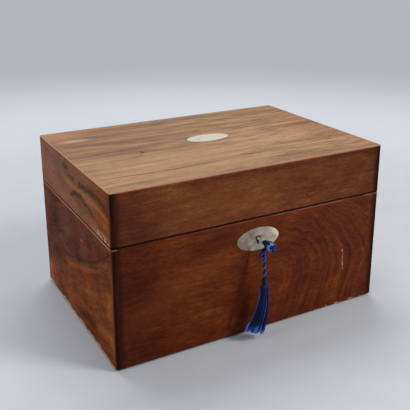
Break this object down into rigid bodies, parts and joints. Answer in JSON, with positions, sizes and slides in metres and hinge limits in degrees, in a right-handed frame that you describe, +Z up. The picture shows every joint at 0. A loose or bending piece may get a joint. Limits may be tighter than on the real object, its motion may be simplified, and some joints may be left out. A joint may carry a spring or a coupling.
{
  "type": "jewelry case",
  "caption": "Veneered jewelry case with a hinged lid, pearl inlays, a box lock with key and silk tassel, and a velvet-lined lift-out tray.",
  "frame": {"origin": "middle of the face that the case rests on", "axes": "+X to the right along the front, +Y to the back, +Z up"},
  "size_m": [0.3, 0.2425, 0.1736],
  "materials": {
    "carcass_wood": "plain sawn board",
    "side_veneer": "worn satin polish",
    "top_veneer": "worn, faded satin polish",
    "ebonised_wood": "black stained, satin",
    "pearl": "mother of pearl, polished",
    "brass": "aged satin",
    "steel": "worn",
    "velvet": "deep blue velvet",
    "tray_wood": "satin",
    "ribbon": "silk ribbon",
    "baize": "matt felted cloth",
    "tassel_silk": "glossy rayon thread"
  },
  "bodies": {
    "case": {"base_back_board": "carcass_wood", "base_back_veneer": "side_veneer", "base_baize": "baize", "base_bottom_board": "carcass_wood", "base_corner_strips": "ebonised_wood", "base_floor_pad": "velvet", "base_front_board": "carcass_wood", "base_front_veneer": "side_veneer", "base_left_board": "carcass_wood", "base_left_veneer": "side_veneer", "base_lining_back": "velvet", "base_lining_front": "velvet", "base_lining_left": "velvet", "base_lining_right": "velvet", "base_right_board": "carcass_wood", "base_right_veneer": "side_veneer", "escutcheon": "pearl", "hinge_base_screws": "steel", "hinge_left_base_leaf": "brass", "hinge_pins": "steel", "hinge_right_base_leaf": "brass", "lock_back_plate": "brass", "lock_bolt_spring": "steel", "lock_cap": "brass", "lock_drill_pin": "steel", "lock_screws": "steel", "tray_bearers": "tray_wood"},
    "lid": {"lid_front_board": "carcass_wood", "lid_back_board": "carcass_wood", "lid_left_board": "carcass_wood", "lid_right_board": "carcass_wood", "lid_top_board": "carcass_wood", "lid_front_veneer": "side_veneer", "lid_back_veneer": "side_veneer", "lid_left_veneer": "side_veneer", "lid_right_veneer": "side_veneer", "lid_top_veneer": "top_veneer", "lid_corner_strips": "ebonised_wood", "lid_plaque": "pearl", "link_plate": "brass", "link_plate_screws": "steel", "hinge_left_lid_leaf": "brass", "hinge_right_lid_leaf": "brass", "hinge_lid_screws": "steel", "lid_wall_linings": "velvet", "lid_pad": "velvet"},
    "bolt": {"lock_bolt": "brass"},
    "key": {"key": "steel", "tassel_hitch": "tassel_silk"},
    "tassel": {"tassel_cord": "tassel_silk", "tassel_band": "tassel_silk", "tassel_skirt": "tassel_silk"},
    "tray": {"tray_walls": "tray_wood", "tray_bottom": "tray_wood", "tray_dividers": "tray_wood", "tray_pads": "velvet", "tray_ring_rolls": "velvet", "tray_lift_tabs": "ribbon"}
  },
  "joints": [
    {"name": "lid_open", "type": "hinge", "parent": "case", "child": "lid", "pos_m": [0, 0.1054, 0.12135], "axis": [-1, 0, 0], "range_deg": [0, 95]},
    {"name": "key_turn", "type": "hinge", "parent": "case", "child": "key", "pos_m": [0, -0.104, 0.1007], "axis": [0, 1, 0], "range_deg": [0, 360]},
    {"name": "bolt_slide", "type": "slide", "parent": "case", "child": "bolt", "axis": [1, 0, 0], "range_m": [0, 0.005]},
    {"name": "tassel_swing", "type": "hinge", "parent": "case", "child": "tassel", "pos_m": [0, -0.119, 0.1007], "axis": [0, 1, 0], "range_deg": [-25, 25]},
    {"name": "tray_lift", "type": "slide", "parent": "case", "child": "tray", "axis": [0, 0, 1], "range_m": [0, 0.036]}
  ],
  "couplings": [
    {"joint": "key_turn", "follows": "bolt_slide", "rad_per_m": 1256.6}
  ]
}
